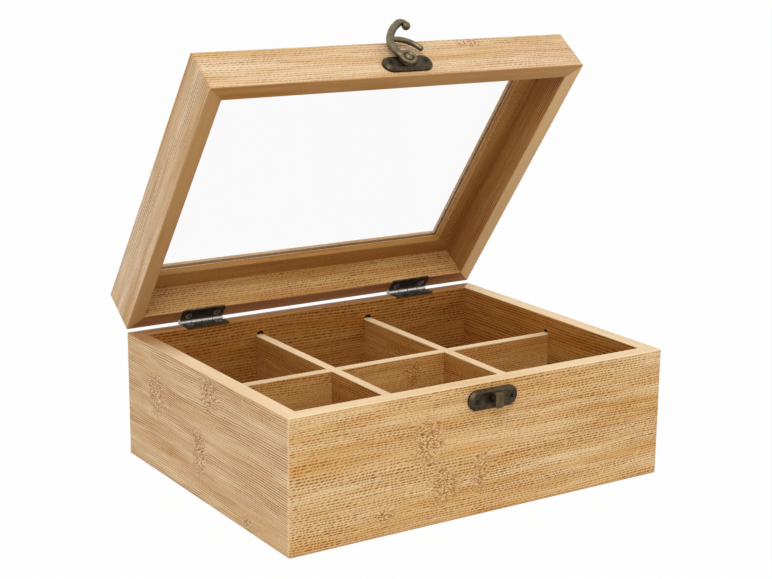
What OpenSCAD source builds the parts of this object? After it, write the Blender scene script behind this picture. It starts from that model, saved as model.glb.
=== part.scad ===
// Tea bag organizer box: hinged bamboo box with six compartments, a glazed lid and a hook latch.
// Origin: centre of the underside. X runs to the right, Y to the back, Z up. Millimetres.
// The lid is drawn standing open and the hook swung up, as the box is shown.

/* [Box] */
// Width of the box, left to right
box_width = 215; // [180:1:260]
// Depth of the box, front to back
box_depth = 166; // [140:1:200]
// Height of the body up to its rim
body_height = 65.6; // [50:0.2:90]
// Thickness of the walls of body and lid
wall_thickness = 8; // [7:0.5:10]
// Thickness of the bottom panel
panel_thickness = 4; // [3:0.5:6]
// How far the bottom panel reaches into the walls
panel_rabbet = 4; // [3:0.5:5]

/* [Dividers] */
// Thickness of the three dividers
divider_thickness = 5; // [4:0.5:6]
// How far the divider tops lie below the rim
divider_drop = 10; // [6:0.5:20]
// Depth of the grooves that hold the divider ends
groove_depth = 3; // [2:0.5:4]

/* [Lid] */
// Height of the lid without the gap
lid_height = 25.8; // [22:0.2:40]
// Gap between the rims when the lid is shut
lid_gap = 0.8; // [0.8:0.1:1.4]
// Angle by which the lid is drawn open
lid_open = 53.9; // [0:0.1:150]
// Width of the rails round the window
rail_width = 10.3; // [8:0.1:20]
// Thickness of the rails round the window
rail_thickness = 8; // [6:0.5:10]
// Thickness of the glass pane
glass_thickness = 2; // [1.5:0.1:3]
// Depth of the top of the glass groove below the lid top
glass_drop = 1.8; // [1.5:0.1:2.5]
// Depth of the glass groove in the rails
glass_groove = 4; // [3:0.5:5]

/* [Rounding] */
// Rounding of the lid top edges
lid_rounding = 3; // [1:0.25:4]
// Rounding of the body bottom edges
base_rounding = 1.75; // [0.5:0.25:3]
// Rounding of the upright corners
corner_rounding = 1; // [0.5:0.25:2]
// Easing of the rims and of the window edges
rim_easing = 0.5; // [0.3:0.1:0.8]

/* [Hinges] */
// Distance from each end of the box to the middle of its hinge
hinge_inset = 42.5; // [30:0.5:60]
// Length of each hinge
hinge_length = 25; // [22:0.5:32]
// Outside diameter of the knuckles
knuckle_diameter = 3.2; // [3:0.1:3.6]
// Diameter of the hinge pin
pin_diameter = 1.4; // [1.2:0.1:1.6]
// Distance of the pin behind the back face
pin_offset = 0.7; // [0.5:0.05:1]
// Thickness of the hinge leaves
leaf_thickness = 0.9; // [0.8:0.05:1]
// Reach of the leaves from the pin into the rim
leaf_reach = 9.4; // [8.5:0.1:10]
// Rounding of the outer leaf corners
leaf_rounding = 1.5; // [0.5:0.1:2.5]
// Distance between the two screws of a leaf
leaf_screw_pitch = 16.4; // [15:0.1:18]
// From the free edge of a leaf to its screws
leaf_screw_inset = 4.6; // [3.5:0.1:4.8]
// Room round the knuckles in the notches of the other leaf and of the wood
notch_room = 0.7; // [0.5:0.05:0.8]

/* [Latch] */
// Place of the two latch plates, to the right of the middle
latch_x = 2.1; // [-20:0.1:20]
// Rivet and keeper neck, to the left of the middle of their plates
neck_offset = 0.6; // [0:0.1:1.2]
// Height of the middle of the hook plate above the lid rim
plate_rise = 7.7; // [7:0.1:12]
// Height of the rivet above the middle of the hook plate
rivet_lift = 0.5; // [0:0.1:1]
// Length of the two latch plates
plate_length = 28; // [26:0.5:32]
// Width of the two latch plates
plate_width = 9.8; // [9:0.1:10.4]
// Thickness of the two latch plates
plate_thickness = 2.4; // [2.2:0.1:2.8]
// Distance between the two screws of a plate
plate_screw_pitch = 20.2; // [19.5:0.1:21]
// Width of the arm of the hook
hook_width = 4.1; // [3.8:0.1:4.2]
// Thickness of the arm of the hook
hook_thickness = 3; // [2.8:0.1:3.2]
// Diameter of the thumb lever of the hook
lever_bar = 2.8; // [2.4:0.1:2.9]
// Diameter of the round tip of the hook
tip_diameter = 4.4; // [4:0.1:4.6]
// Diameter of the eye of the hook
eye_diameter = 9; // [8.8:0.1:9.2]
// Diameter of the rivet
rivet_diameter = 2.2; // [2:0.1:2.4]
// Diameter of the rivet head
rivet_head = 4.2; // [3.8:0.1:4.4]
// Distance from the rivet to the neck of the keeper with the lid shut
keeper_reach = 17; // [16.9:0.1:17.2]
// Diameter of the neck of the keeper
keeper_neck = 3.6; // [3:0.1:3.6]
// Width of the keeper head
keeper_width = 4.6; // [4.2:0.1:5.6]
// Height of the keeper head
keeper_height = 7.4; // [6.5:0.1:7.6]
// Thickness of the keeper head
keeper_thickness = 1.4; // [1.2:0.1:2]

/* [Screws] */
// Diameter of the screw shanks
screw_diameter = 2; // [1.8:0.1:2.2]
// Diameter of the hinge screw heads
hinge_head = 3.7; // [3.4:0.1:3.8]
// Diameter of the latch screw heads
latch_head = 4.2; // [3.8:0.1:4.4]
// Length of the hinge screws
hinge_screw_length = 9; // [8:0.5:12]
// Length of the latch screws
latch_screw_length = 7.5; // [6:0.5:8]
// Depth of the cross recess
recess_depth = 0.6; // [0.4:0.05:0.6]

/* [Fits] */
// Side clearance of the dividers, the glass and the bottom panel
slip_fit = 0.1; // [0.05:0.05:0.2]
// Clearance round pins, rivet and screws, on the radius
pin_fit = 0.05; // [0.02:0.01:0.08]
// Gap between moving pieces
moving_gap = 0.3; // [0.25:0.05:0.4]

/* [Hidden] */
$fn = 48;
cut = 1;
inner_width = box_width - 2 * wall_thickness;
inner_depth = box_depth - 2 * wall_thickness;
divider_top = body_height - divider_drop;
divider_tall = divider_top - panel_thickness;
lap_height = panel_thickness + divider_tall / 2;
bay_width = (inner_width - 2 * divider_thickness) / 3;
divider_x = (bay_width + divider_thickness) / 2;
groove_width = divider_thickness + 2 * slip_fit;
end_gap = 2 * slip_fit;
lid_rim = body_height + lid_gap;
lid_top = lid_rim + lid_height;
pin_y = box_depth / 2 + pin_offset;
pin_z = body_height + lid_gap / 2;
hinge_x = box_width / 2 - hinge_inset;
knuckle_length = hinge_length / 4;
knuckle_gap = moving_gap / 2;
leaf_gap = moving_gap / 2;
leaf_screw_y = pin_y - leaf_reach + leaf_screw_inset;
rail_z = lid_top - rail_thickness;
window_width = inner_width - 2 * rail_width;
window_depth = inner_depth - 2 * rail_width;
glass_slot = glass_thickness + 2 * slip_fit;
glass_z = lid_top - glass_drop - glass_slot;
glass_inset = glass_groove - end_gap;
hook_plate_z = lid_rim + plate_rise;
rivet_x = latch_x - neck_offset;
rivet_z = hook_plate_z + rivet_lift;
catch_z = rivet_z - keeper_reach;
front_y = -box_depth / 2;
bar_height = plate_thickness + moving_gap + hook_thickness / 2;
bar_top = bar_height + hook_thickness / 2;
eye_bottom = plate_thickness + moving_gap;
eye_top = eye_bottom + 2.1;
ring_bar = 2.2;
ring_radius = eye_diameter / 2 + 0.2 - ring_bar / 2;
ring_height = bar_top - 0.1 - ring_bar / 2;
neck_top = bar_top + moving_gap;
rivet_cap = 1.3;
plate_rim = plate_thickness - 1.2;
plate_bevel = 1.2;
plate_end = plate_length / 2 - plate_width / 2;
arm_x = 7.3;
arm_y = 8.5;
arm_radius = 11.9;
arm_start = 213;
arm_end = 150;
stem_radius = 29.9;
stem_root = 2;
stem_end = 120;
stem_slimming = 0.2;
curl_radius = 1.95;
curl_root = 14;
curl_end = -30;
curl_slimming = 0.5;
lever_x = -1.5;
lever_y = 0;
lever_radius = 13.5;
lever_start = 97;
lever_end = 28;
lever_knob = lever_bar + 0.2;

// Lid pieces are modelled shut and turned open about the hinge pins.
module lid_pose() {
  translate([0, pin_y, pin_z])
    rotate([-lid_open, 0, 0])
      translate([0, -pin_y, -pin_z])
        children();
}

// Frame of a latch plate: local X right, local Y up the face, local Z out of the face.
module on_front(x, z) {
  translate([x, front_y, z])
    rotate([90, 0, 0])
      children();
}

// Sliver outside a rounded edge that runs along X; the wood lies towards +Y and +Z.
module edge_round(length, radius) {
  difference() {
    translate([-cut, -cut, -cut])
      cube([length + 2 * cut, radius + cut, radius + cut]);
    translate([-2 * cut, radius, radius])
      rotate([0, 90, 0])
        cylinder(r = radius, h = length + 4 * cut);
  }
}

// Mitred board along X, outer face at Y = 0, inner face at Y = depth.
module mitred_board(length, depth, height) {
  linear_extrude(height = height)
    polygon([
      [-length / 2, 0], [length / 2, 0],
      [length / 2 - depth, depth], [-length / 2 + depth, depth]
    ]);
}

// Wall board with rounded outer edges: bottom, top and both upright corners.
module wall_board(length, height, low_round, high_round) {
  difference() {
    mitred_board(length, wall_thickness, height);
    translate([-length / 2, 0, 0])
      edge_round(length, low_round);
    translate([-length / 2, 0, height])
      mirror([0, 0, 1])
        edge_round(length, high_round);
    translate([-length / 2, 0, 0])
      rotate([0, -90, 0])
        mirror([0, 0, 1])
          edge_round(height, corner_rounding);
    translate([length / 2, 0, 0])
      mirror([1, 0, 0])
        rotate([0, -90, 0])
          mirror([0, 0, 1])
            edge_round(height, corner_rounding);
  }
}

// Eased inner edge of a rim that runs along X at the given height.
module inner_easing(length, height, downward) {
  translate([-length / 2, wall_thickness, height])
    mirror([0, 1, 0])
      mirror([0, 0, downward])
        edge_round(length, rim_easing);
}

// Stopped groove for a divider end in a body wall, with the round end of the cutter.
module divider_groove(x) {
  translate([x - groove_width / 2, wall_thickness - groove_depth, -cut])
    cube([groove_width, groove_depth + cut, divider_top + cut]);
  translate([x, wall_thickness - groove_depth, divider_top])
    rotate([-90, 0, 0])
      cylinder(d = groove_width, h = groove_depth + cut);
}

// Body wall: rabbet for the bottom panel underneath, eased rim on top.
module body_board(length) {
  difference() {
    wall_board(length, body_height, base_rounding, rim_easing);
    inner_easing(length, body_height, 1);
    translate([-length / 2 - cut, wall_thickness - panel_rabbet, -cut])
      cube([length + 2 * cut, panel_rabbet + cut, panel_thickness + cut]);
  }
}

// Lid wall: rounded on top, eased rim underneath.
module lid_board(length) {
  translate([0, 0, lid_rim])
    difference() {
      wall_board(length, lid_height, rim_easing, lid_rounding);
      inner_easing(length, 0, 0);
    }
}

// Places of the four sides, each with its outer face on the outside of the box.
module to_front() {
  translate([0, -box_depth / 2, 0])
    children();
}

module to_back() {
  translate([0, box_depth / 2, 0])
    rotate([0, 0, 180])
      children();
}

module to_left() {
  translate([-box_width / 2, 0, 0])
    rotate([0, 0, -90])
      children();
}

module to_right() {
  translate([box_width / 2, 0, 0])
    rotate([0, 0, 90])
      children();
}

// Outline of a hinge leaf seen from above, from the pin line into the rim.
module leaf_outline(extra) {
  half = hinge_length / 2 + extra;
  reach = leaf_reach + extra;
  translate([-half, -reach + leaf_rounding])
    square([2 * half, reach - leaf_rounding]);
  translate([-half + leaf_rounding, -reach])
    square([2 * (half - leaf_rounding), leaf_rounding]);
  for (side = [-1, 1])
    translate([side * (half - leaf_rounding), -reach + leaf_rounding])
      circle(r = leaf_rounding);
}

// Room for one hinge in the body rim: recess for the leaf and notch for the knuckles.
module hinge_recess(x) {
  translate([x, pin_y, pin_z - leaf_gap - leaf_thickness])
    linear_extrude(height = 3)
      leaf_outline(slip_fit);
  translate([x - hinge_length / 2 - notch_room, pin_y - knuckle_diameter / 2 - notch_room,
             pin_z - knuckle_diameter / 2 - notch_room])
    cube([hinge_length + 2 * notch_room, knuckle_diameter, 2 * knuckle_diameter]);
}

// Pilot holes of the two screws of one leaf.
module leaf_pilots(x) {
  for (side = [-1, 1])
    translate([x + side * leaf_screw_pitch / 2, leaf_screw_y, pin_z - hinge_screw_length - cut])
      cylinder(d = screw_diameter + 2 * pin_fit, h = hinge_screw_length);
}

// Pilot holes of the two screws of one latch plate.
module plate_pilots() {
  for (side = [-1, 1])
    translate([side * plate_screw_pitch / 2, 0, -latch_screw_length])
      cylinder(d = screw_diameter + 2 * pin_fit, h = latch_screw_length + cut);
}

// Mirrors a body hinge shape onto the lid, about the plane of the pins.
module to_lid_side() {
  translate([0, 0, 2 * pin_z])
    mirror([0, 0, 1])
      children();
}

// Body walls

module front_wall() {
  color([0.87, 0.72, 0.5])
    difference() {
      to_front()
        difference() {
          body_board(box_width);
          divider_groove(-divider_x);
          divider_groove(divider_x);
        }
      on_front(latch_x, catch_z)
        plate_pilots();
    }
}

module back_wall() {
  color([0.87, 0.72, 0.5])
    difference() {
      to_back()
        difference() {
          body_board(box_width);
          divider_groove(-divider_x);
          divider_groove(divider_x);
        }
      for (side = [-1, 1]) {
        hinge_recess(side * hinge_x);
        leaf_pilots(side * hinge_x);
      }
    }
}

module left_wall() {
  color([0.87, 0.72, 0.5])
    to_left()
      difference() {
        body_board(box_depth);
        divider_groove(0);
      }
}

module right_wall() {
  color([0.87, 0.72, 0.5])
    to_right()
      difference() {
        body_board(box_depth);
        divider_groove(0);
      }
}

module bottom_panel() {
  width = inner_width + 2 * panel_rabbet - 2 * slip_fit;
  depth = inner_depth + 2 * panel_rabbet - 2 * slip_fit;
  color([0.8, 0.64, 0.42])
    translate([-width / 2, -depth / 2, 0])
      cube([width, depth, panel_thickness]);
}

// Dividers

module long_divider() {
  length = inner_width + 2 * groove_depth - 2 * end_gap;
  color([0.84, 0.68, 0.46])
    difference() {
      translate([-length / 2, -divider_thickness / 2, panel_thickness])
        cube([length, divider_thickness, divider_tall]);
      for (side = [-1, 1])
        translate([side * divider_x - groove_width / 2, -divider_thickness, lap_height])
          cube([groove_width, 2 * divider_thickness, divider_tall]);
    }
}

module cross_divider(x) {
  length = inner_depth + 2 * groove_depth - 2 * end_gap;
  difference() {
    translate([x - divider_thickness / 2, -length / 2, panel_thickness])
      cube([divider_thickness, length, divider_tall]);
    translate([x - divider_thickness, -groove_width / 2, panel_thickness - cut])
      cube([2 * divider_thickness, groove_width, divider_tall / 2 + cut]);
  }
}

module left_divider() {
  color([0.84, 0.68, 0.46])
    cross_divider(-divider_x);
}

module right_divider() {
  color([0.84, 0.68, 0.46])
    cross_divider(divider_x);
}

// Lid walls

module lid_front_wall() {
  color([0.88, 0.74, 0.53])
    lid_pose()
      difference() {
        to_front()
          lid_board(box_width);
        on_front(latch_x, hook_plate_z)
          plate_pilots();
      }
}

module lid_back_wall() {
  color([0.88, 0.74, 0.53])
    lid_pose()
      difference() {
        to_back()
          lid_board(box_width);
        to_lid_side()
          for (side = [-1, 1]) {
            hinge_recess(side * hinge_x);
            leaf_pilots(side * hinge_x);
          }
      }
}

module lid_left_wall() {
  color([0.88, 0.74, 0.53])
    lid_pose()
      to_left()
        lid_board(box_depth);
}

module lid_right_wall() {
  color([0.88, 0.74, 0.53])
    lid_pose()
      to_right()
        lid_board(box_depth);
}

// Window rails and glass

module rail_board(length) {
  translate([0, wall_thickness, rail_z])
    difference() {
      mitred_board(length, rail_width, rail_thickness);
      translate([-length / 2, rail_width - glass_groove, glass_z - rail_z])
        cube([length, glass_groove + cut, glass_slot]);
      translate([-length / 2, rail_width, 0])
        mirror([0, 1, 0])
          edge_round(length, rim_easing);
      translate([-length / 2, rail_width, rail_thickness])
        mirror([0, 1, 0])
          mirror([0, 0, 1])
            edge_round(length, rim_easing);
    }
}

module lid_front_rail() {
  color([0.85, 0.7, 0.48])
    lid_pose()
      to_front()
        rail_board(inner_width);
}

module lid_back_rail() {
  color([0.85, 0.7, 0.48])
    lid_pose()
      to_back()
        rail_board(inner_width);
}

module lid_left_rail() {
  color([0.85, 0.7, 0.48])
    lid_pose()
      to_left()
        rail_board(inner_depth);
}

module lid_right_rail() {
  color([0.85, 0.7, 0.48])
    lid_pose()
      to_right()
        rail_board(inner_depth);
}

module glass_pane() {
  width = window_width + 2 * glass_inset;
  depth = window_depth + 2 * glass_inset;
  color([0.93, 0.92, 0.95, 0.35])
    lid_pose()
      translate([-width / 2, -depth / 2, glass_z])
        cube([width, depth, glass_thickness]);
}

// Hinges

// Body leaf in its shut place; own_first tells which knuckles belong to it.
module hinge_leaf(own_first, bore) {
  difference() {
    union() {
      difference() {
        translate([0, pin_y, pin_z - leaf_gap - leaf_thickness])
          linear_extrude(height = leaf_thickness)
            leaf_outline(0);
        for (step = [0 : 1])
          translate([-hinge_length / 2 + (2 * step + 1 - own_first) * knuckle_length - knuckle_gap,
                     pin_y, pin_z])
            rotate([0, 90, 0])
              cylinder(d = knuckle_diameter + 2 * notch_room, h = knuckle_length + 2 * knuckle_gap);
      }
      for (step = [0 : 1])
        translate([-hinge_length / 2 + (2 * step + own_first) * knuckle_length + knuckle_gap,
                   pin_y, pin_z])
          rotate([0, 90, 0])
            cylinder(d = knuckle_diameter, h = knuckle_length - 2 * knuckle_gap);
    }
    translate([-hinge_length, pin_y, pin_z])
      rotate([0, 90, 0])
        cylinder(d = bore, h = 2 * hinge_length);
    for (side = [-1, 1])
      translate([side * leaf_screw_pitch / 2, leaf_screw_y, pin_z - leaf_gap])
        countersink(hinge_head);
  }
}

// Hole for a countersunk screw that seats on its cone, head face at Z = 0.
module countersink(head) {
  depth = (head - screw_diameter) / 2;
  translate([0, 0, -depth])
    cylinder(d1 = screw_diameter, d2 = head, h = depth);
  cylinder(d = head, h = cut);
  translate([0, 0, -5])
    cylinder(d = screw_diameter + 2 * pin_fit, h = 5);
}

// Plain pin, tight in the knuckles of the body leaf and free in those of the lid leaf.
module hinge_pin() {
  translate([-hinge_length / 2, pin_y, pin_z])
    rotate([0, 90, 0])
      cylinder(d = pin_diameter, h = hinge_length);
}

module left_hinge_body_leaf() {
  color([0.3, 0.26, 0.22])
    translate([-hinge_x, 0, 0])
      hinge_leaf(0, pin_diameter);
}

module right_hinge_body_leaf() {
  color([0.3, 0.26, 0.22])
    translate([hinge_x, 0, 0])
      hinge_leaf(0, pin_diameter);
}

module left_hinge_lid_leaf() {
  color([0.3, 0.26, 0.22])
    lid_pose()
      to_lid_side()
        translate([-hinge_x, 0, 0])
          hinge_leaf(1, pin_diameter + 2 * pin_fit);
}

module right_hinge_lid_leaf() {
  color([0.3, 0.26, 0.22])
    lid_pose()
      to_lid_side()
        translate([hinge_x, 0, 0])
          hinge_leaf(1, pin_diameter + 2 * pin_fit);
}

module left_hinge_pin() {
  color([0.55, 0.5, 0.44])
    translate([-hinge_x, 0, 0])
      hinge_pin();
}

module right_hinge_pin() {
  color([0.55, 0.5, 0.44])
    translate([hinge_x, 0, 0])
      hinge_pin();
}

// Screws

// Countersunk screw with a cross recess, head face at Z = 0, point downwards.
module screw(head, length) {
  depth = (head - screw_diameter) / 2;
  point = screw_diameter;
  difference() {
    union() {
      translate([0, 0, -depth])
        cylinder(d1 = screw_diameter, d2 = head, h = depth);
      translate([0, 0, -length + point])
        cylinder(d = screw_diameter, h = length - point - depth);
      translate([0, 0, -length])
        cylinder(d1 = 0.3, d2 = screw_diameter, h = point);
    }
    for (turn = [0, 90])
      rotate([0, 0, turn + 20])
        translate([-head * 0.3, -0.25, -recess_depth])
          cube([head * 0.6, 0.5, recess_depth + cut]);
  }
}

module leaf_screws(x) {
  for (side = [-1, 1])
    translate([x + side * leaf_screw_pitch / 2, leaf_screw_y, pin_z - leaf_gap])
      screw(hinge_head, hinge_screw_length - 1);
}

module hinge_body_screws() {
  color([0.42, 0.38, 0.33]) {
    leaf_screws(-hinge_x);
    leaf_screws(hinge_x);
  }
}

module hinge_lid_screws() {
  color([0.42, 0.38, 0.33])
    lid_pose()
      to_lid_side() {
        leaf_screws(-hinge_x);
        leaf_screws(hinge_x);
      }
}

// Both plates carry their screws with the heads just below the plate face.
module plate_screws() {
  for (side = [-1, 1])
    translate([side * plate_screw_pitch / 2, 0, plate_thickness - 0.1])
      screw(latch_head, latch_screw_length + plate_thickness - 1);
}

module hook_plate_screws() {
  color([0.42, 0.38, 0.33])
    lid_pose()
      on_front(latch_x, hook_plate_z)
        plate_screws();
}

module catch_plate_screws() {
  color([0.42, 0.38, 0.33])
    on_front(latch_x, catch_z)
      plate_screws();
}

// Latch

// Long plate with round ends and a bevelled face, lying on Z = 0.
module latch_plate() {
  rise = plate_thickness - plate_rim;
  difference() {
    union() {
      translate([-plate_end, -plate_width / 2, 0])
        cube([2 * plate_end, plate_width, plate_rim]);
      for (side = [-1, 1])
        translate([side * plate_end, 0, 0])
          cylinder(d = plate_width, h = plate_rim);
      translate([-plate_end, 0, plate_rim])
        rotate([90, 0, 90])
          linear_extrude(height = 2 * plate_end)
            polygon([
              [-plate_width / 2, 0], [plate_width / 2, 0],
              [plate_width / 2 - plate_bevel, rise], [-plate_width / 2 + plate_bevel, rise]
            ]);
      for (side = [-1, 1])
        translate([side * plate_end, 0, plate_rim])
          cylinder(d1 = plate_width, d2 = plate_width - 2 * plate_bevel, h = rise);
    }
    for (side = [-1, 1])
      translate([side * plate_screw_pitch / 2, 0, plate_thickness - 0.1])
        countersink(latch_head);
  }
}

module hook_plate() {
  color([0.3, 0.26, 0.22])
    lid_pose()
      on_front(latch_x, hook_plate_z)
        difference() {
          latch_plate();
          translate([-neck_offset, rivet_lift, -cut])
            cylinder(d = rivet_diameter, h = plate_thickness + 2 * cut);
        }
}

// Rivet through plate and hook, with a domed head over the eye.
module hook_rivet() {
  head_z = eye_top + moving_gap;
  dome = (rivet_head * rivet_head / 4 + rivet_cap * rivet_cap) / (2 * rivet_cap);
  color([0.5, 0.45, 0.39])
    lid_pose()
      on_front(rivet_x, rivet_z)
        union() {
          cylinder(d = rivet_diameter, h = head_z + 0.2);
          intersection() {
            translate([0, 0, head_z + rivet_cap - dome])
              sphere(r = dome);
            translate([0, 0, head_z])
              cylinder(d = rivet_head, h = 2 * rivet_cap);
          }
        }
}

// Bar bent to an arc, from one angle down to the next; its section has round ends.
module bent_bar(radius, wide, thick, from, to) {
  rotate([0, 0, to])
    rotate_extrude(angle = from - to)
      translate([radius, 0])
        union() {
          square([wide - thick, thick], center = true);
          for (side = [-1, 1])
            translate([side * (wide - thick) / 2, 0])
              circle(d = thick);
        }
}

// Round bar bent to an arc.
module bent_rod(radius, bar, from, to) {
  rotate([0, 0, to])
    rotate_extrude(angle = from - to)
      translate([radius, 0])
        circle(d = bar);
}

// Hook in its own frame: rivet at the origin, plate face at Z = 0, tip pointing up.
// Arm, stem and curl follow on each other as arcs that share their tangents.
module hook_shape() {
  stem_x = arm_x + (arm_radius - stem_radius) * cos(arm_end);
  stem_y = arm_y + (arm_radius - stem_radius) * sin(arm_end);
  curl_x = stem_x + (stem_radius - curl_radius) * cos(stem_end);
  curl_y = stem_y + (stem_radius - curl_radius) * sin(stem_end);
  difference() {
    union() {
      translate([0, 0, eye_bottom])
        cylinder(d = eye_diameter, h = eye_top - eye_bottom);
      translate([0, 0, ring_height])
        rotate_extrude()
          translate([ring_radius, 0])
            circle(d = ring_bar);
      translate([arm_x, arm_y, bar_height])
        bent_bar(arm_radius, hook_width, hook_thickness, arm_start, arm_end);
      translate([stem_x, stem_y, bar_height])
        bent_bar(stem_radius, hook_width - stem_slimming, hook_thickness - stem_slimming,
                 arm_end + stem_root, stem_end);
      translate([curl_x, curl_y, bar_height])
        bent_bar(curl_radius, hook_width - curl_slimming, hook_thickness - curl_slimming,
                 stem_end + curl_root, curl_end);
      translate([curl_x + curl_radius * cos(curl_end), curl_y + curl_radius * sin(curl_end),
                 bar_height])
        sphere(d = tip_diameter);
      translate([lever_x, lever_y, bar_height])
        bent_rod(lever_radius, lever_bar, lever_start, lever_end);
      translate([lever_x + lever_radius * cos(lever_end), lever_y + lever_radius * sin(lever_end),
                 bar_height])
        sphere(d = lever_knob);
    }
    cylinder(d = rivet_diameter + 2 * pin_fit, h = 3 * eye_top);
    translate([0, 0, eye_top])
      cylinder(d = rivet_head + 2 * moving_gap, h = 3 * eye_top);
  }
}

module hook() {
  color([0.33, 0.29, 0.24])
    lid_pose()
      on_front(rivet_x, rivet_z)
        hook_shape();
}

// Catch plate with its keeper: a round neck with an upright head in front.
module catch_plate() {
  corner = 1.2;
  color([0.3, 0.26, 0.22])
    on_front(latch_x, catch_z)
      union() {
        latch_plate();
        translate([-neck_offset, 0, plate_rim])
          cylinder(d = keeper_neck, h = neck_top - plate_rim + keeper_thickness / 2);
        translate([-neck_offset, 0.4, neck_top])
          linear_extrude(height = keeper_thickness)
            union() {
              square([keeper_width - 2 * corner, keeper_height], center = true);
              square([keeper_width, keeper_height - 2 * corner], center = true);
              for (i = [-1, 1])
                for (j = [-1, 1])
                  translate([i * (keeper_width / 2 - corner), j * (keeper_height / 2 - corner)])
                    circle(r = corner);
            }
      }
}

front_wall();
back_wall();
left_wall();
right_wall();
bottom_panel();
long_divider();
left_divider();
right_divider();
lid_front_wall();
lid_back_wall();
lid_left_wall();
lid_right_wall();
lid_front_rail();
lid_back_rail();
lid_left_rail();
lid_right_rail();
glass_pane();
left_hinge_body_leaf();
left_hinge_lid_leaf();
left_hinge_pin();
right_hinge_body_leaf();
right_hinge_lid_leaf();
right_hinge_pin();
hinge_body_screws();
hinge_lid_screws();
hook_plate();
hook();
hook_rivet();
hook_plate_screws();
catch_plate();
catch_plate_screws();
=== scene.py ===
import math

import bpy
from mathutils import Matrix, Vector

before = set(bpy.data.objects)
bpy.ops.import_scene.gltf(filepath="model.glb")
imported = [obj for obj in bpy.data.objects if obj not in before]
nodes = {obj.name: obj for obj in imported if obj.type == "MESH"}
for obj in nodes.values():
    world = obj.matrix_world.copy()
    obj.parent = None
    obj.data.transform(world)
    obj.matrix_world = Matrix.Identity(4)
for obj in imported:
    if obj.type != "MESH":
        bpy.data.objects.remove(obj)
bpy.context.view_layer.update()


# ---------------------------------------------------------------- Camera
# The box is seen from the front left and a little above, through a long lens.
# Place and lens were solved from the corners of body and lid in the picture, 772 by 579.
lens = bpy.data.cameras.new("product_camera")
lens.sensor_width = 36
lens.lens = 78.17
lens.clip_start = 0.01
lens.clip_end = 30
camera = bpy.data.objects.new("product_camera", lens)
camera.matrix_world = Matrix((
    (0.83835, 0.12091, -0.53155, -0.45030),
    (-0.54503, 0.20441, -0.81312, -0.68365),
    (0.01034, 0.97139, 0.23726, 0.29217),
    (0, 0, 0, 1),
))
bpy.context.scene.collection.objects.link(camera)
bpy.context.scene.camera = camera
bpy.context.scene.view_settings.view_transform = "Standard"


# ---------------------------------------------------------------- White studio
# A white surround that the camera, the metal and the glass see as plain white,
# and that lights the box evenly at a lower level.
def put(tree, kind, inputs=(), **settings):
    """Adds a shader node; inputs maps socket names or numbers to values or sockets."""
    node = tree.nodes.new("ShaderNode" + kind)
    for key, value in settings.items():
        setattr(node, key, value)
    for key, value in dict(inputs).items():
        if isinstance(value, bpy.types.NodeSocket):
            tree.links.new(value, node.inputs[key])
        else:
            node.inputs[key].default_value = value
    return node


world = bpy.data.worlds.new("white_studio")
bpy.context.scene.world = world
world.use_nodes = True
sky = world.node_tree
sky.nodes.clear()
ray = put(sky, "LightPath")
shown = put(sky, "Math", {0: ray.outputs["Is Camera Ray"], 1: ray.outputs["Is Glossy Ray"]},
            operation="MAXIMUM")
shown = put(sky, "Math", {0: shown.outputs[0], 1: ray.outputs["Is Transmission Ray"]},
            operation="MAXIMUM")
way = put(sky, "TexCoord")
height = put(sky, "SeparateXYZ", {0: way.outputs["Generated"]})
above = put(sky, "MapRange", {0: height.outputs["Z"], 1: -0.3, 2: 0.9, 3: 0.45, 4: 0.62})
level = put(sky, "Mix", {0: shown.outputs[0], 2: above.outputs[0], 3: 1.0}, data_type="FLOAT")
glow = put(sky, "Background", {"Color": (1, 1, 1, 1), "Strength": level.outputs[0]})
put(sky, "OutputWorld", {"Surface": glow.outputs[0]})


# ---------------------------------------------------------------- Lamps
# Two wide soft boxes: the main one above the front left, a weaker one from the right.
def soft_box(name, place, target, size, watts):
    """A square lamp that shines from place to target."""
    data = bpy.data.lights.new(name, "AREA")
    data.shape = "SQUARE"
    data.size = size
    data.energy = watts
    lamp = bpy.data.objects.new(name, data)
    aim = Vector(target) - Vector(place)
    turned = aim.to_track_quat("-Z", "Y").to_matrix().to_4x4()
    lamp.matrix_world = Matrix.Translation(place) @ turned
    bpy.context.scene.collection.objects.link(lamp)


soft_box("main_lamp", (-0.7, -1.0, 1.3), (0, 0, 0.08), 0.9, 13)
soft_box("side_lamp", (1.2, -0.9, 0.7), (0, 0, 0.08), 0.8, 3)


# ---------------------------------------------------------------- Floor
# A matt white floor. The camera sees it nearly as white as the surround, so
# that only a faint shadow is left under the box.
def primitive(operator, name, **settings):
    """Runs a bpy.ops.mesh primitive with nothing else selected and names the new piece."""
    bpy.ops.object.select_all(action="DESELECT")
    operator(**settings)
    piece = bpy.context.object
    piece.name = name
    piece.data.name = name
    bpy.ops.object.transform_apply(location=True, rotation=True, scale=True)
    return piece


floor = primitive(bpy.ops.mesh.primitive_plane_add, "floor", size=8)
paint = bpy.data.materials.new("white_floor")
paint.use_nodes = True
tree = paint.node_tree
tree.nodes.clear()
matt = put(tree, "BsdfDiffuse", {"Color": (0.8, 0.8, 0.8, 1)})
white = put(tree, "Emission", {"Color": (1, 1, 1, 1), "Strength": 1.0})
ray = put(tree, "LightPath")
share = put(tree, "Math", {0: ray.outputs["Is Camera Ray"], 1: ray.outputs["Is Glossy Ray"]},
            operation="MAXIMUM")
share = put(tree, "Math", {0: share.outputs[0], 1: ray.outputs["Is Transmission Ray"]},
            operation="MAXIMUM")
share = put(tree, "Math", {0: share.outputs[0], 1: 0.97}, operation="MULTIPLY")
both = put(tree, "MixShader", {0: share.outputs[0], 1: matt.outputs[0], 2: white.outputs[0]})
put(tree, "OutputMaterial", {"Surface": both.outputs[0]})
floor.data.materials.append(paint)


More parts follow.
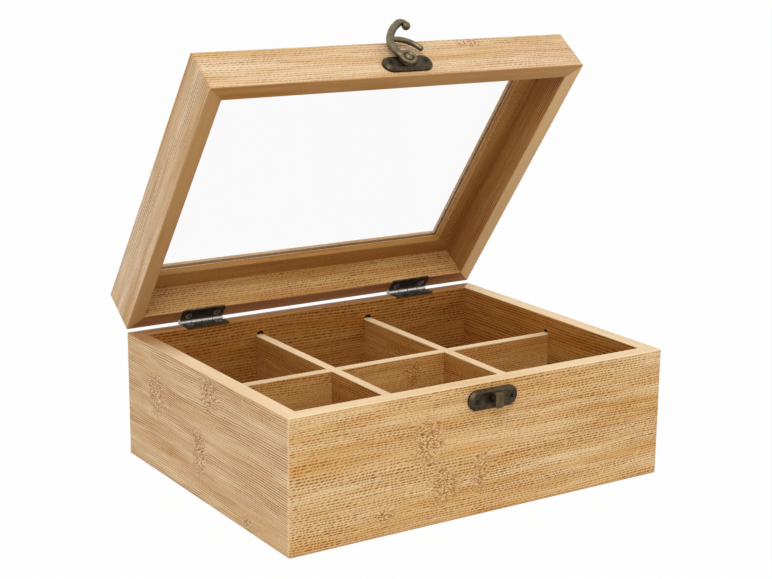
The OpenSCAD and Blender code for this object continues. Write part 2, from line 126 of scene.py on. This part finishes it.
# ---------------------------------------------------------------- Body walls
# Four boards of laminated bamboo, 8 mm thick, mitred and glued at the corners.
# The fibres run along each board; they are cut as fine dark lines and dashes,
# and the knots of the cane show as patches of short broken fibres.
def tone(red, green, blue):
    """Screen colour, 0 to 255, as the linear colour that a shader takes."""
    return tuple((v / 12.92 if v <= 0.04045 else ((v + 0.055) / 1.055) ** 2.4)
                 for v in (red / 255, green / 255, blue / 255)) + (1,)


def group(name, inputs, outputs):
    """An empty node group with named sockets, its input node and its output node."""
    new = bpy.data.node_groups.new(name, "ShaderNodeTree")
    for way, sockets in (("INPUT", inputs), ("OUTPUT", outputs)):
        for label, kind in sockets:
            new.interface.new_socket(name=label, in_out=way, socket_type="NodeSocket" + kind)
    return new, new.nodes.new("NodeGroupInput"), new.nodes.new("NodeGroupOutput")


def stretched_noise(tree, place, stretch, detail=1.0, rough=0.5, twist=0.0, low=0.4, high=0.6):
    """Noise drawn out along the board; stretch gives cells per millimetre on each axis."""
    drawn = put(tree, "VectorMath", {0: place, 1: stretch}, operation="MULTIPLY")
    cells = put(tree, "TexNoise", {"Vector": drawn.outputs[0], "Scale": 1.0, "Detail": detail,
                                   "Roughness": rough, "Distortion": twist})
    return put(tree, "MapRange", {0: cells.outputs[0], 1: low, 2: high}).outputs[0]


def sums(tree, operation, first, second):
    """One Math node on two values or sockets."""
    return put(tree, "Math", {0: first, 1: second}, operation=operation).outputs[0]


def blend_colour(tree, share, first, second, mode="MIX"):
    """One colour Mix node."""
    node = put(tree, "Mix", data_type="RGBA", blend_type=mode)
    for number, value in ((0, share), (6, first), (7, second)):
        if isinstance(value, bpy.types.NodeSocket):
            tree.links.new(value, node.inputs[number])
        else:
            node.inputs[number].default_value = value
    return node.outputs[2]


# Fibre lines at an even pitch across the board, partly broken into short dots.
ROW_SHIFT = 0.87  # from one line to the next the dots move on by this share of a dot
DOT_LEAN = 0.5  # how far a dot leans across its line
WANDER = 3.0  # how many dots a line may drift along the board


def combed(tree, place, seed, pitch, dots, dot_rate):
    """Mask of dark lines along X; dots tells how far the lines are broken up."""
    axes = put(tree, "SeparateXYZ", {0: place})
    along = axes.outputs["X"]
    across = sums(tree, "ADD", axes.outputs["Y"], sums(tree, "MULTIPLY", axes.outputs["Z"], 0.8))
    rows = sums(tree, "DIVIDE", across, pitch)
    number = sums(tree, "FLOOR", rows, 0.0)
    part = sums(tree, "SUBTRACT", rows, number)
    middle = sums(tree, "ABSOLUTE", sums(tree, "SUBTRACT", part, 0.5), 0.0)
    ridge = put(tree, "MapRange", {0: middle, 1: 0.06, 2: 0.40, 3: 1.0, 4: 0.0}).outputs[0]
    own = put(tree, "TexWhiteNoise", {"W": sums(tree, "ADD", number, seed)},
              noise_dimensions="1D").outputs["Value"]
    drift = put(tree, "CombineXYZ", {0: sums(tree, "MULTIPLY", along, 0.16),
                                     1: sums(tree, "MULTIPLY", number, 0.35), 2: seed})
    drift = put(tree, "TexNoise", {"Vector": drift.outputs[0], "Scale": 1.0, "Detail": 0.0})
    phase = sums(tree, "ADD", sums(tree, "MULTIPLY", along, dot_rate),
                 sums(tree, "MULTIPLY", number, ROW_SHIFT))
    phase = sums(tree, "ADD", phase, sums(tree, "MULTIPLY", drift.outputs[0], WANDER))
    phase = sums(tree, "SUBTRACT", phase, sums(tree, "MULTIPLY", part, DOT_LEAN))
    beat = sums(tree, "SUBTRACT", sums(tree, "FRACT", phase, 0.0), 0.5)
    beat = sums(tree, "ABSOLUTE", beat, 0.0)
    dot = put(tree, "MapRange", {0: beat, 1: 0.14, 2: 0.32, 3: 1.0, 4: 0.0}).outputs[0]
    spot = put(tree, "CombineXYZ", {0: sums(tree, "ADD", sums(tree, "MULTIPLY", along, 0.05),
                                            sums(tree, "MULTIPLY", own, 97.0)),
                                    1: sums(tree, "MULTIPLY", number, 3.7), 2: seed})
    cells = put(tree, "TexNoise", {"Vector": spot.outputs[0], "Scale": 1.0, "Detail": 1.0})
    patch = put(tree, "MapRange", {0: cells.outputs[0], 1: 0.34, 2: 0.56, 3: 0.45, 4: 1.0})
    whole = sums(tree, "SUBTRACT", 1.0, dots)
    broken = sums(tree, "ADD", whole, sums(tree, "MULTIPLY", dot, dots))
    mask = sums(tree, "MULTIPLY", ridge, broken)
    return sums(tree, "MULTIPLY", mask, patch.outputs[0])


# Grain: Place is in millimetres, X along the board, Y across the strips, Z into it.
# Inside marks the faces that look into the box, which take the inner tint: painted shade of the
# box's inside.
# Rim marks the rims, sanded cream with partly painted top light, or brown painted shade where the
# lid shades them; Groove marks the saw grooves, painted dark as shade; and Edge the rounded edges.
grain, into, out = group(
    "bamboo_grain",
    (("Place", "Vector"), ("Seed", "Float"), ("Strip", "Float"), ("Pale", "Color"),
     ("Warm", "Color"), ("Fibre", "Color"), ("Cream", "Color"), ("Inner Shade", "Color"),
     ("Inside", "Float"), ("Rim", "Float"), ("Groove", "Float"), ("Lines", "Float"),
     ("Dots", "Float"), ("Pitch", "Float"), ("Knot", "Float"), ("Edge", "Float")),
    (("Color", "Color"), ("Roughness", "Float"), ("Height", "Float")))
seed = into.outputs["Seed"]
knot = into.outputs["Knot"]
shift = put(grain, "CombineXYZ", {0: sums(grain, "MULTIPLY", seed, 37.0),
                                  1: sums(grain, "MULTIPLY", seed, 11.3),
                                  2: sums(grain, "MULTIPLY", seed, 5.1)})
moved = put(grain, "VectorMath", {0: into.outputs["Place"], 1: shift.outputs[0]},
            operation="ADD").outputs[0]
sway = stretched_noise(grain, moved, (0.012, 0.05, 0.05), low=0, high=1)
sway = sums(grain, "MULTIPLY", sums(grain, "SUBTRACT", sway, 0.5), 5.0)
swirl = stretched_noise(grain, moved, (0.12, 0.3, 0.3), low=0, high=1)
swirl = sums(grain, "MULTIPLY", sums(grain, "SUBTRACT", swirl, 0.5), 9.0)
sway = sums(grain, "ADD", sway, sums(grain, "MULTIPLY", swirl, knot))
aside = put(grain, "CombineXYZ", {0: 0.0, 1: sway, 2: 0.0})
bent = put(grain, "VectorMath", {0: moved, 1: aside.outputs[0]}, operation="ADD").outputs[0]
rows = put(grain, "SeparateXYZ", {0: bent})
strip = sums(grain, "DIVIDE", rows.outputs["Y"], into.outputs["Strip"])
strip_tone = put(grain, "TexWhiteNoise",
                 {"W": sums(grain, "ADD", sums(grain, "FLOOR", strip, 0.0), seed)},
                 noise_dimensions="1D").outputs["Value"]
region = stretched_noise(grain, bent, (0.016, 0.10, 0.10), low=0.34, high=0.62)
lines = combed(grain, bent, seed, into.outputs["Pitch"], into.outputs["Dots"],
               sums(grain, "DIVIDE", 0.50, into.outputs["Pitch"]))
fine = combed(grain, bent, sums(grain, "ADD", seed, 0.5), 0.67, 0.4, 0.5)
region = sums(grain, "ADD", 0.5, sums(grain, "MULTIPLY", region, 0.5))
dark = sums(grain, "ADD", sums(grain, "MULTIPLY", lines, region),
            sums(grain, "MULTIPLY", fine, 0.25))
dark = sums(grain, "MULTIPLY", dark, into.outputs["Lines"])
dark = sums(grain, "MULTIPLY", dark,
            sums(grain, "SUBTRACT", 1.0, sums(grain, "MULTIPLY", into.outputs["Rim"], 0.75)))
bands = stretched_noise(grain, bent, (0.010, 0.16, 0.16), detail=2.0, low=0.34, high=0.66)
bands = sums(grain, "ADD", sums(grain, "MULTIPLY", bands, 0.8),
             sums(grain, "MULTIPLY", strip_tone, 0.2))
wood = blend_colour(grain, bands, into.outputs["Pale"], into.outputs["Warm"])
streaks = stretched_noise(grain, bent, (0.016, 0.45, 0.45), low=0.54, high=0.74)
wood = blend_colour(grain, sums(grain, "MULTIPLY", streaks, 0.22), wood, into.outputs["Fibre"])
wood = blend_colour(grain, sums(grain, "MINIMUM", dark, 1.0), wood, into.outputs["Fibre"])
broken = stretched_noise(grain, moved, (0.80, 1.70, 1.70), rough=0.6, twist=0.4,
                         low=0.47, high=0.57)
broken = sums(grain, "MULTIPLY", broken, knot)
wood = blend_colour(grain, sums(grain, "MULTIPLY", knot, 0.5), wood,
                   blend_colour(grain, 0.35, into.outputs["Pale"], into.outputs["Warm"]))
wood = blend_colour(grain, sums(grain, "MULTIPLY", broken, 0.85), wood, into.outputs["Fibre"])
pores = stretched_noise(grain, moved, (1.2, 6.0, 6.0), low=0.3, high=0.7)
speck = put(grain, "MapRange", {0: pores, 1: 0.0, 2: 1.0, 3: 0.95, 4: 1.04})
wood = blend_colour(grain, 1.0, wood, speck.outputs[0], "MULTIPLY")
# Painted shade: the faces inside the box are multiplied by the inner tint.
wood = blend_colour(grain, into.outputs["Inside"], wood,
                    blend_colour(grain, 1.0, wood, into.outputs["Inner Shade"], "MULTIPLY"))
worn = sums(grain, "MULTIPLY", into.outputs["Edge"],
            sums(grain, "SUBTRACT", 1.0, into.outputs["Inside"]))
cream = sums(grain, "MAXIMUM", sums(grain, "MULTIPLY", worn, 0.55),
             sums(grain, "MULTIPLY", into.outputs["Rim"],
                  sums(grain, "SUBTRACT", 0.95, sums(grain, "MULTIPLY", bands, 0.4))))
# The cream tone on rims is sanded cream with partly painted top light, or brown painted shade; worn
# edges outside the box turn cream too.
wood = blend_colour(grain, cream, wood, into.outputs["Cream"])
# Painted shade in the saw grooves of the walls.
groove_shade = tone(52, 28, 10)
wood = blend_colour(grain, sums(grain, "MULTIPLY", into.outputs["Groove"], 0.9), wood,
                    groove_shade)
rough = put(grain, "MapRange", {0: dark, 1: 0.0, 2: 1.0, 3: 0.42, 4: 0.62})
relief = sums(grain, "SUBTRACT", sums(grain, "MULTIPLY", pores, 0.25),
              sums(grain, "ADD", dark, sums(grain, "MULTIPLY", broken, 0.6)))
grain.links.new(wood, out.inputs["Color"])
grain.links.new(rough.outputs[0], out.inputs["Roughness"])
grain.links.new(relief, out.inputs["Height"])

# One knot: an oval mask round its centre, added to those that came before it.
knot_patch, into, out = group(
    "bamboo_knot",
    (("Place", "Vector"), ("Centre", "Vector"), ("Reach", "Vector"), ("Before", "Float")),
    (("Knot", "Float"),))
offset = put(knot_patch, "VectorMath", {0: into.outputs["Place"], 1: into.outputs["Centre"]},
             operation="SUBTRACT")
ratio = put(knot_patch, "VectorMath", {0: offset.outputs[0], 1: into.outputs["Reach"]},
            operation="DIVIDE")
ragged = put(knot_patch, "TexNoise", {"Vector": into.outputs["Place"], "Scale": 0.28,
                                     "Detail": 1.0})
away = put(knot_patch, "VectorMath", {0: ratio.outputs[0]}, operation="LENGTH")
away = sums(knot_patch, "ADD", away.outputs["Value"], ragged.outputs[0])
oval = put(knot_patch, "MapRange", {0: away, 1: 1.0, 2: 1.6, 3: 1.0, 4: 0.0},
           interpolation_type="SMOOTHSTEP")
knot_patch.links.new(sums(knot_patch, "MAXIMUM", oval.outputs[0], into.outputs["Before"]),
                     out.inputs["Knot"])

# Edge: how far the surface turns within a small radius, for sanded or worn edges.
edge_mask, into, out = group("edge_mask", (("Radius", "Float"), ("Full", "Float")),
                             (("Mask", "Float"),))
rounded = put(edge_mask, "Bevel", {"Radius": into.outputs["Radius"]}, samples=6)
straight = put(edge_mask, "NewGeometry")
alike = put(edge_mask, "VectorMath", {0: rounded.outputs[0], 1: straight.outputs["Normal"]},
            operation="DOT_PRODUCT")
turned = put(edge_mask, "MapRange", {0: alike.outputs["Value"], 1: 1.0, 2: into.outputs["Full"],
                                     3: 0.0, 4: 1.0})
edge_mask.links.new(turned.outputs[0], out.inputs["Mask"])

ALONG_X = Matrix(((1, 0, 0), (0, 0, 1), (0, -1, 0)))
ALONG_Y = Matrix(((0, 1, 0), (0, 0, 1), (1, 0, 0)))
PIN_LINE = Vector((0, 83.7, 66.0))  # a point on the axis of the hinge pins, in mm
LONG_INNER = 75.6  # the inner faces of front and back wall lie nearer to the middle, in mm
SHORT_INNER = 100.1  # the same for the left and right wall
ALL_INNER = 900  # past every face, for a piece that is inside on both sides
NO_RIMS = (-900, 900)
GROOVE_REACH = 6.3  # cuts in a wall no further out than this past its inner face, in mm
ENDLESS = 1e6  # a knot goes right through its board
LID_SHADOW_FADE = 45.0  # length over which a rim turns from cream to the brown of the painted lid shadow, in mm
SANDED = 0.0012  # how near to an edge the wood can be worn, in metres


def bamboo(name, along, seed, pale, warm, fibre, lines=0.8, strip=9.0, knots=(), open_angle=0.0,
           inner_shade=(1, 1, 1, 1), within=-1.0, span=(0.4, 65.2), dots=0.7, cream=tone(250, 222, 180),
           pitch=1.25, lid_shadow_from=None, lid=False):
    """Bamboo for one board. Knots are (along, across, reach along, reach across) in mm.

    Lengths are in mm. Faces nearer to the middle than within take the inner tint, painted shade of
    the box's inside. span is the height between the rims of the board, which take the cream tone:
    sanded cream with partly painted top light, or a brown painted shade where the lid shades them;
    from the start given for the lid's shadow towards the back they turn brown, painted shadow of
    the open lid. A board of the lid has its rim at the foot alone, and no grooves.
    """
    material = bpy.data.materials.new(name)
    material.use_nodes = True
    tree = material.node_tree
    tree.nodes.clear()
    turn = Matrix.Rotation(math.radians(open_angle), 3, "X")
    spot = put(tree, "TexCoord")
    place = put(tree, "Mapping", {"Vector": spot.outputs["Object"],
                                  "Location": along @ (PIN_LINE - turn @ PIN_LINE),
                                  "Rotation": (along @ turn).to_euler(),
                                  "Scale": (1000, 1000, 1000)}).outputs[0]
    mask = 0.0
    for x, y, reach_x, reach_y in knots:
        patch = put(tree, "Group", node_tree=knot_patch)
        tree.links.new(place, patch.inputs["Place"])
        patch.inputs["Centre"].default_value = (x, y, 0)
        patch.inputs["Reach"].default_value = (reach_x, reach_y, ENDLESS)
        if mask:
            tree.links.new(mask, patch.inputs["Before"])
        mask = patch.outputs[0]
    depth = put(tree, "SeparateXYZ", {0: place})
    side = sums(tree, "ABSOLUTE", depth.outputs["Z"], 0.0)
    inside = put(tree, "MapRange", {0: side, 1: within - 0.3, 2: within, 3: 1.0, 4: 0.0}).outputs[0]
    low, high = span
    top = put(tree, "MapRange", {0: depth.outputs["Y"], 1: high - 0.1, 2: high + 0.1})
    foot = put(tree, "MapRange", {0: depth.outputs["Y"], 1: low - 0.3, 2: low, 3: 1.0, 4: 0.0})
    ends = sums(tree, "MAXIMUM", top.outputs[0], foot.outputs[0])
    flank = sums(tree, "SUBTRACT", 1.0, ends)
    # Rims take the cream tone: sanded cream with partly painted top light, unless a brown painted
    # shade is given.
    rim = foot.outputs[0] if lid else sums(tree, "SUBTRACT", 1.0, flank)
    inside = sums(tree, "MULTIPLY", inside, flank)
    # The faces cut into the wall past its inner face, the grooves, take painted shade.
    deep = sums(tree, "MULTIPLY", sums(tree, "GREATER_THAN", side, within + 0.5),
                sums(tree, "LESS_THAN", side, within + GROOVE_REACH))
    groove = sums(tree, "MULTIPLY", deep, flank)
    edge = put(tree, "Group", node_tree=edge_mask)
    edge.inputs["Radius"].default_value = SANDED
    edge.inputs["Full"].default_value = 0.75
    look = put(tree, "Group", node_tree=grain)
    for key, value in (("Seed", seed), ("Strip", strip), ("Pale", pale), ("Warm", warm),
                       ("Fibre", fibre), ("Lines", lines), ("Inner Shade", inner_shade), ("Dots", dots),
                       ("Cream", cream), ("Pitch", pitch)):
        look.inputs[key].default_value = value
    tree.links.new(inside, look.inputs["Inside"])
    # Painted shadow: towards the back the rim turns brown, where the open lid shades it.
    if lid_shadow_from is not None:
        fade = put(tree, "MapRange", {0: depth.outputs["X"], 1: lid_shadow_from,
                                      2: lid_shadow_from + LID_SHADOW_FADE})
        shaded = blend_colour(tree, fade.outputs[0], cream, tone(160, 104, 40))
        tree.links.new(shaded, look.inputs["Cream"])
    tree.links.new(rim, look.inputs["Rim"])
    if within < ALL_INNER and not lid:
        tree.links.new(groove, look.inputs["Groove"])
    tree.links.new(place, look.inputs["Place"])
    tree.links.new(edge.outputs[0], look.inputs["Edge"])
    if mask:
        tree.links.new(mask, look.inputs["Knot"])
    bump = put(tree, "Bump", {"Strength": 0.35, "Distance": 0.00012,
                              "Height": look.outputs["Height"]})
    shader = put(tree, "BsdfPrincipled", {"Base Color": look.outputs["Color"],
                                          "Roughness": look.outputs["Roughness"],
                                          "IOR": 1.45, "Specular IOR Level": 0.12,
                                          "Normal": bump.outputs[0]})
    put(tree, "OutputMaterial", {"Surface": shader.outputs[0]})
    return material


def dress(names, material):
    """Gives CAD nodes a material."""
    for name in names:
        mesh = nodes[name].data
        mesh.materials.clear()
        mesh.materials.append(material)


wall_pale = tone(243, 214, 164)
wall_warm = tone(226, 177, 108)
wall_fibre = tone(148, 82, 4)
# The inner tints are painted shade for the faces inside the box.
wall_inner_shade = (0.58, 0.375, 0.17, 1)
dress(["front_wall"], bamboo(
    "front_bamboo", ALONG_X, 1.0, wall_pale, wall_warm, wall_fibre, 1.25,
    knots=((-33, 42, 10, 13), (-24, 18, 10, 11), (-3, 22, 5, 11), (-57, 10, 8, 4)),
    inner_shade=wall_inner_shade, within=LONG_INNER))
# The back wall's rims are brown: painted shade under the open lid.
dress(["back_wall"], bamboo(
    "back_bamboo", ALONG_X, 2.0, wall_pale, wall_warm, wall_fibre, 1.25,
    knots=((40, 30, 9, 12),), inner_shade=(0.56, 0.375, 0.17, 1), within=LONG_INNER, pitch=1.6,
    dots=0.6, cream=tone(156, 100, 40)))
dress(["left_wall"], bamboo(
    "left_bamboo", ALONG_Y, 3.0, tone(252, 225, 180), tone(234, 195, 142), tone(158, 90, 28),
    1.0, knots=((49.5, 41, 10, 13), (-8, 57, 12, 10), (3, 25, 8, 14), (-45, 4, 8, 4)),
    inner_shade=wall_inner_shade, within=SHORT_INNER, dots=0.35, pitch=1.14, lid_shadow_from=20.0))
dress(["right_wall"], bamboo(
    "right_bamboo", ALONG_Y, 4.0, wall_pale, wall_warm, wall_fibre, 1.1,
    knots=((-20, 30, 9, 12),), inner_shade=(0.62, 0.41, 0.18, 1), within=SHORT_INNER, dots=0.45,
    pitch=1.5))


# ---------------------------------------------------------------- Bottom panel
# A thin bamboo panel glued into a rabbet under the walls, a little darker, with painted shade
# inside.
FLAT = Matrix.Identity(3)
dress(["bottom_panel"], bamboo(
    "panel_bamboo", FLAT, 5.0, tone(206, 168, 118), tone(184, 140, 90), wall_fibre, 0.7,
    strip=20.0, inner_shade=(0.6, 0.45, 0.25, 1), within=ALL_INNER, span=NO_RIMS))


# ---------------------------------------------------------------- Dividers
# Three thin boards, half-lapped where they cross, slid into grooves in the walls.
# The dividers take their inner tint on every face: painted shade of the box's inside.
slat_pale = tone(222, 186, 136)
slat_warm = tone(198, 152, 98)
slat_inner_shade = (0.88, 0.69, 0.38, 1)
SLAT_SPAN = (0, 55.3)  # foot and top rim of a divider
dress(["long_divider"], bamboo(
    "long_divider_bamboo", ALONG_X, 6.0, slat_pale, slat_warm, wall_fibre, 1.1, strip=6.0,
    knots=((12, 47, 5, 8),), inner_shade=(1.0, 0.86, 0.55, 1), within=ALL_INNER, span=SLAT_SPAN))
dress(["left_divider"], bamboo(
    "left_divider_bamboo", ALONG_Y, 7.0, slat_pale, slat_warm, wall_fibre, 1.2, strip=6.0,
    inner_shade=slat_inner_shade, within=ALL_INNER, span=SLAT_SPAN))
dress(["right_divider"], bamboo(
    "right_divider_bamboo", ALONG_Y, 8.0, slat_pale, slat_warm, wall_fibre, 1.2, strip=6.0,
    inner_shade=slat_inner_shade, within=ALL_INNER, span=SLAT_SPAN))


# ---------------------------------------------------------------- Lid frame
# Four mitred bamboo walls, paler than the body, and four rails let in between
# them that carry the glass.
OPEN = 53.9  # angle of the lid in the picture, in degrees
LID_SPAN = (67.0, 91.6)  # foot and top of the closed lid
RAIL_SPAN = (80, 87.9)  # foot and top of the rails in it
lid_pale = tone(246, 220, 183)
lid_warm = tone(222, 180, 124)
# The lid's inner tint is painted shade; the rails take it on every face.
lid_inner_shade = (0.62, 0.42, 0.19, 1)
# Each lid wall's cream tone colours its foot rim; the brown ones are painted shade under the open
# lid.
dress(["lid_front_wall"], bamboo(
    "lid_front_bamboo", ALONG_X, 9.0, lid_pale, lid_warm, wall_fibre, 0.75,
    knots=((46, 88, 9, 5),), open_angle=OPEN, lid=True, pitch=1.5, dots=0.5,
    cream=tone(164, 104, 20), inner_shade=lid_inner_shade, within=LONG_INNER, span=LID_SPAN))
dress(["lid_back_wall"], bamboo(
    "lid_back_bamboo", ALONG_X, 10.0, lid_pale, lid_warm, wall_fibre, 0.9, open_angle=OPEN,
    lid=True, pitch=1.5, cream=tone(140, 74, 2), inner_shade=(0.80, 0.66, 0.42, 1), within=LONG_INNER,
    span=LID_SPAN))
dress(["lid_left_wall"], bamboo(
    "lid_left_bamboo", ALONG_Y, 11.0, lid_pale, lid_warm, wall_fibre, 0.75, open_angle=OPEN,
    lid=True, inner_shade=lid_inner_shade, within=SHORT_INNER, cream=tone(182, 130, 66), span=LID_SPAN,
    dots=0.3, pitch=1.3))
dress(["lid_right_wall"], bamboo(
    "lid_right_bamboo", ALONG_Y, 12.0, lid_pale, lid_warm, wall_fibre, 0.9, open_angle=OPEN,
    lid=True, inner_shade=lid_inner_shade, within=SHORT_INNER, span=LID_SPAN, dots=0.3, pitch=1.3,
    cream=tone(222, 180, 126)))
for number, side in enumerate(("front", "back", "left", "right")):
    dress(["lid_%s_rail" % side],
          bamboo("lid_%s_rail_bamboo" % side, ALONG_X if number < 2 else ALONG_Y, 13.0 + number,
                 lid_pale, lid_warm, wall_fibre, 0.6, strip=12.0, open_angle=OPEN, lid=True,
                 inner_shade=lid_inner_shade, within=ALL_INNER, span=RAIL_SPAN))


# ---------------------------------------------------------------- Glass
# A clear pane that slides into the groove of the rails; it veils the white
# behind it with a very faint violet grey.
clear = bpy.data.materials.new("clear_glass")
clear.use_nodes = True
tree = clear.node_tree
tree.nodes.clear()
shader = put(tree, "BsdfPrincipled", {"Base Color": (0.975, 0.967, 0.972, 1), "Roughness": 0.0,
                                      "IOR": 1.05, "Transmission Weight": 1.0})
put(tree, "OutputMaterial", {"Surface": shader.outputs[0]})
dress(["glass_pane"], clear)


# ---------------------------------------------------------------- Hinges
# Two small butt hinges of pressed steel in an antique bronze finish: the
# leaves are dark, and the rolled knuckles are rubbed bright.
metal, into, out = group(
    "antique_bronze",
    (("Place", "Vector"), ("Dark", "Color"), ("Light", "Color"), ("Edge", "Float"),
     ("Wear", "Float"), ("Bright", "Float"), ("Painted Light", "Float"), ("Hollow", "Float")),
    (("Color", "Color"), ("Roughness", "Float"), ("Height", "Float")))
cloud = stretched_noise(metal, into.outputs["Place"], (0.35, 0.35, 0.35), detail=3.0, rough=0.6,
                        low=0.3, high=0.7)
grit = stretched_noise(metal, into.outputs["Place"], (2.4, 2.4, 2.4), detail=2.0, rough=0.6,
                       low=0.35, high=0.65)
worn = sums(metal, "MULTIPLY", into.outputs["Edge"],
            sums(metal, "ADD", 0.45, sums(metal, "MULTIPLY", cloud, 0.55)))
worn = sums(metal, "MULTIPLY", worn, into.outputs["Wear"])
share = sums(metal, "ADD", sums(metal, "MULTIPLY", cloud, 0.38),
             sums(metal, "MULTIPLY", grit, 0.12))
# The painted light input adds painted light and shade by which way a face looks.
share = sums(metal, "ADD", sums(metal, "ADD", share, worn), into.outputs["Painted Light"])
share = sums(metal, "MAXIMUM", sums(metal, "MINIMUM", share, 1.0), 0.0)
colour = blend_colour(metal, share, into.outputs["Dark"], into.outputs["Light"])
steel = blend_colour(metal, grit, tone(176, 170, 162), tone(226, 222, 216))
colour = blend_colour(metal, into.outputs["Bright"], colour, steel)
# Dark in hollows and where parts meet: partly patina, partly painted shade of corners, recesses and
# contacts.
shade = put(metal, "AmbientOcclusion", {"Distance": 0.0012}, samples=8)
shade = put(metal, "MapRange", {0: shade.outputs["AO"], 1: 0.35, 2: 0.95, 3: into.outputs["Hollow"],
                                4: 1.0})
colour = blend_colour(metal, 1.0, colour, shade.outputs[0], "MULTIPLY")
rough = put(metal, "MapRange", {0: share, 1: 0.0, 2: 1.0, 3: 0.5, 4: 0.3})
metal.links.new(colour, out.inputs["Color"])
metal.links.new(rough.outputs[0], out.inputs["Roughness"])
metal.links.new(grit, out.inputs["Height"])


def bronze(name, dark, light, wear=1.0, metallic=0.85, radius=0.0004, bright=0.0,
           painted_light=0.0, hollow=0.22, proud=None):
    """Antique bronze plating, rubbed light on the edges, and dark in the hollows: partly patina,
    partly painted shade.

    The surface nearer to the pin line than bright, in mm, is rubbed down to the steel.
    Faces that look up and to the left are painted lighter and those that look down darker, as
    painted light and shade, by the painted-light amount; where that is given, what stands out in
    front of the plane proud, in mm, is painted lighter too.
    hollow is the tone left in the corners, patina and painted shade, and radius, in metres, finds
    the edges.
    """
    material = bpy.data.materials.new(name)
    material.use_nodes = True
    tree = material.node_tree
    tree.nodes.clear()
    spot = put(tree, "TexCoord")
    place = put(tree, "Mapping", {"Vector": spot.outputs["Object"], "Scale": (1000, 1000, 1000)})
    edge = put(tree, "Group", node_tree=edge_mask)
    edge.inputs["Radius"].default_value = radius
    edge.inputs["Full"].default_value = 0.8
    look = put(tree, "Group", node_tree=metal)
    look.inputs["Dark"].default_value = dark
    look.inputs["Light"].default_value = light
    look.inputs["Wear"].default_value = wear
    tree.links.new(place.outputs[0], look.inputs["Place"])
    tree.links.new(edge.outputs[0], look.inputs["Edge"])
    look.inputs["Hollow"].default_value = hollow
    # Painted light and shade: lighter on faces that look up and to the left, darker on those that
    # look down, and lighter in front of proud.
    if painted_light:
        lean = put(tree, "VectorMath", {0: spot.outputs["Normal"], 1: (-0.6, 0.0, 0.8)},
                   operation="DOT_PRODUCT").outputs["Value"]
        lean = put(tree, "MapRange", {0: lean, 1: -0.7, 2: 0.8, 3: -0.6 * painted_light,
                                      4: painted_light}).outputs[0]
        if proud is not None:
            out_front = put(tree, "SeparateXYZ", {0: place.outputs[0]}).outputs["Y"]
            out_front = put(tree, "MapRange", {0: out_front, 1: proud, 2: proud - 1.0,
                                               3: 0.0, 4: 0.4})
            lean = sums(tree, "ADD", lean, out_front.outputs[0])
        tree.links.new(lean, look.inputs["Painted Light"])
    if bright:
        off = put(tree, "VectorMath", {0: place.outputs[0], 1: tuple(PIN_LINE)},
                  operation="SUBTRACT")
        off = put(tree, "VectorMath", {0: off.outputs[0], 1: (0, 1, 1)}, operation="MULTIPLY")
        off = put(tree, "VectorMath", {0: off.outputs[0]}, operation="LENGTH")
        near = put(tree, "MapRange", {0: off.outputs["Value"], 1: bright, 2: bright + 0.15,
                                      3: 1.0, 4: 0.0})
        tree.links.new(near.outputs[0], look.inputs["Bright"])
    bump = put(tree, "Bump", {"Strength": 0.2, "Distance": 0.00008,
                              "Height": look.outputs["Height"]})
    shader = put(tree, "BsdfPrincipled", {"Base Color": look.outputs["Color"],
                                          "Metallic": metallic,
                                          "Roughness": look.outputs["Roughness"],
                                          "Normal": bump.outputs[0]})
    put(tree, "OutputMaterial", {"Surface": shader.outputs[0]})
    return material


leaf_bronze = bronze("leaf_bronze", tone(44, 36, 28), tone(138, 122, 100), bright=1.65)
for side in ("left", "right"):
    dress([side + "_hinge_body_leaf", side + "_hinge_lid_leaf"], leaf_bronze)


# ---------------------------------------------------------------- Hinge pins
# Plain steel wire through the knuckles, cut off flush at both ends.
dress(["left_hinge_pin", "right_hinge_pin"],
      bronze("pin_steel", tone(120, 112, 102), tone(196, 190, 182), metallic=1.0))


# ---------------------------------------------------------------- Screws
# Small countersunk wood screws with a cross recess, plated like the hinges.
dress(["hinge_body_screws", "hinge_lid_screws"],
      bronze("hinge_screw_steel", tone(120, 110, 98), tone(240, 234, 224), radius=0.0003,
             hollow=0.35))
dress(["hook_plate_screws", "catch_plate_screws"],
      bronze("latch_screw_bronze", tone(22, 18, 14), tone(104, 94, 78), radius=0.0002,
             hollow=0.1))


# ---------------------------------------------------------------- Latch
# Cast latch in antique bronze: hook plate with a rivet, a swan-neck hook with a
# thumb lever, and the catch plate with its keeper.
PAINTED_LIGHT_FROM = -87.5  # y in mm, in front of which the latch on the body is painted lighter, as painted light
# The latch parts take painted light and shade by which way their faces look.
dress(["hook_plate", "catch_plate"],
      bronze("plate_bronze", tone(28, 22, 14), tone(112, 94, 68), wear=0.6, painted_light=0.18,
             proud=PAINTED_LIGHT_FROM))
dress(["hook", "hook_rivet"],
      bronze("hook_bronze", tone(38, 30, 18), tone(158, 142, 110), wear=0.8, radius=0.0006,
             painted_light=0.3))
